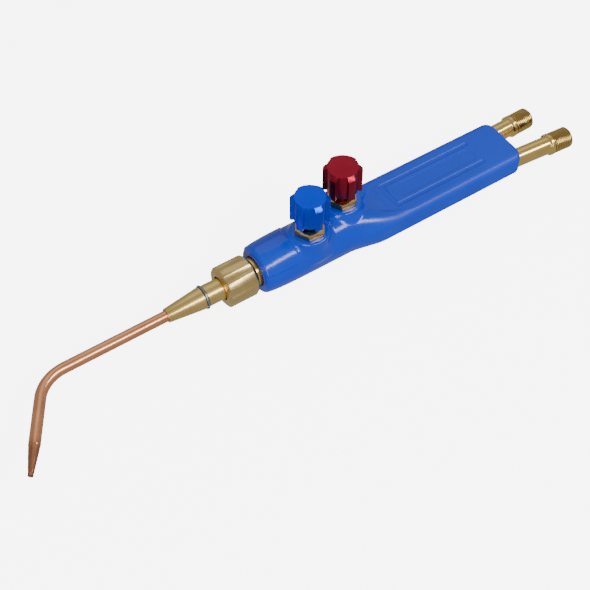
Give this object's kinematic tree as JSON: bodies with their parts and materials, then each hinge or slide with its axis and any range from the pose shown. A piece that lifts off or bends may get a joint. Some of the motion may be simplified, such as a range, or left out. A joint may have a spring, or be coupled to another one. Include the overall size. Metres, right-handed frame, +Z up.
{
  "type": "lampwork torch",
  "caption": "Hand-held two-gas torch for glass and metal work: flat grip, two needle valves, screwed union, mixer and a bent copper nozzle.",
  "frame": {"origin": "on the torch's own axis, at the front end of the body's round band, 12.5 mm behind its front face, where a bench bracket clamps it", "axes": "+X along the torch from the nozzle to the hose inlets, +Z up through the valve knobs, +Y to the fuel side"},
  "size_m": [0.4147, 0.076, 0.0644],
  "materials": {
    "blue_paint": "gloss enamel on a cast body",
    "brass": "turned, bright",
    "copper": "drawn copper tube",
    "blue_anodised": "satin anodised",
    "red_anodised": "satin anodised",
    "steel": "plain",
    "packing": "matt",
    "rubber": "matt"
  },
  "bodies": {
    "body": {"torch_body": "blue_paint", "union_nose": "brass", "oxygen_inlet": "brass", "fuel_inlet": "brass", "oxygen_tube": "copper", "fuel_tube": "copper", "oxygen_seat": "brass", "fuel_seat": "brass", "oxygen_packing": "packing", "fuel_packing": "packing", "oxygen_packing_washer": "steel", "fuel_packing_washer": "steel", "oxygen_gland_nut": "brass", "fuel_gland_nut": "brass"},
    "oxygen_lift": {"oxygen_valve_ball": "steel"},
    "oxygen_stem": {"oxygen_spindle": "steel", "oxygen_knob": "blue_anodised", "oxygen_knob_screw": "steel"},
    "fuel_lift": {"fuel_valve_ball": "steel"},
    "fuel_stem": {"fuel_spindle": "steel", "fuel_knob": "red_anodised", "fuel_knob_screw": "steel"},
    "union_carriage": {"large_oring": "rubber", "small_oring": "rubber"},
    "mixer_unit": {"mixer": "brass", "injector": "brass", "retaining_ring": "steel", "nozzle": "copper"},
    "union_nut": {"union_nut": "brass"}
  },
  "joints": [
    {"name": "oxygen_valve_lift", "type": "slide", "parent": "body", "child": "oxygen_lift", "axis": [0, 0, 1], "range_m": [0, 0.0015]},
    {"name": "oxygen_valve_turn", "type": "hinge", "parent": "oxygen_lift", "child": "oxygen_stem", "pos_m": [0.0243, -0.0047, 0], "axis": [0, 0, 1], "range_deg": [0, 540]},
    {"name": "fuel_valve_lift", "type": "slide", "parent": "body", "child": "fuel_lift", "axis": [0, 0, 1], "range_m": [0, 0.0015]},
    {"name": "fuel_valve_turn", "type": "hinge", "parent": "fuel_lift", "child": "fuel_stem", "pos_m": [0.0543, 0.0047, 0], "axis": [0, 0, 1], "range_deg": [0, 540]},
    {"name": "mixer_slide", "type": "slide", "parent": "body", "child": "union_carriage", "axis": [-1, 0, 0], "range_m": [0, 0.012]},
    {"name": "union_nut_turn", "type": "hinge", "parent": "union_carriage", "child": "union_nut", "pos_m": [-0.026, 0, 0], "axis": [-1, 0, 0], "range_deg": [0, 2880]},
    {"name": "mixer_swivel", "type": "hinge", "parent": "union_carriage", "child": "mixer_unit", "pos_m": [-0.04, 0, 0], "axis": [1, 0, 0], "continuous": true}
  ],
  "couplings": [
    {"joint": "oxygen_valve_turn", "follows": "oxygen_valve_lift", "rad_per_m": 6283.2},
    {"joint": "fuel_valve_turn", "follows": "fuel_valve_lift", "rad_per_m": 6283.2},
    {"joint": "union_nut_turn", "follows": "mixer_slide", "rad_per_m": 4188.8}
  ]
}
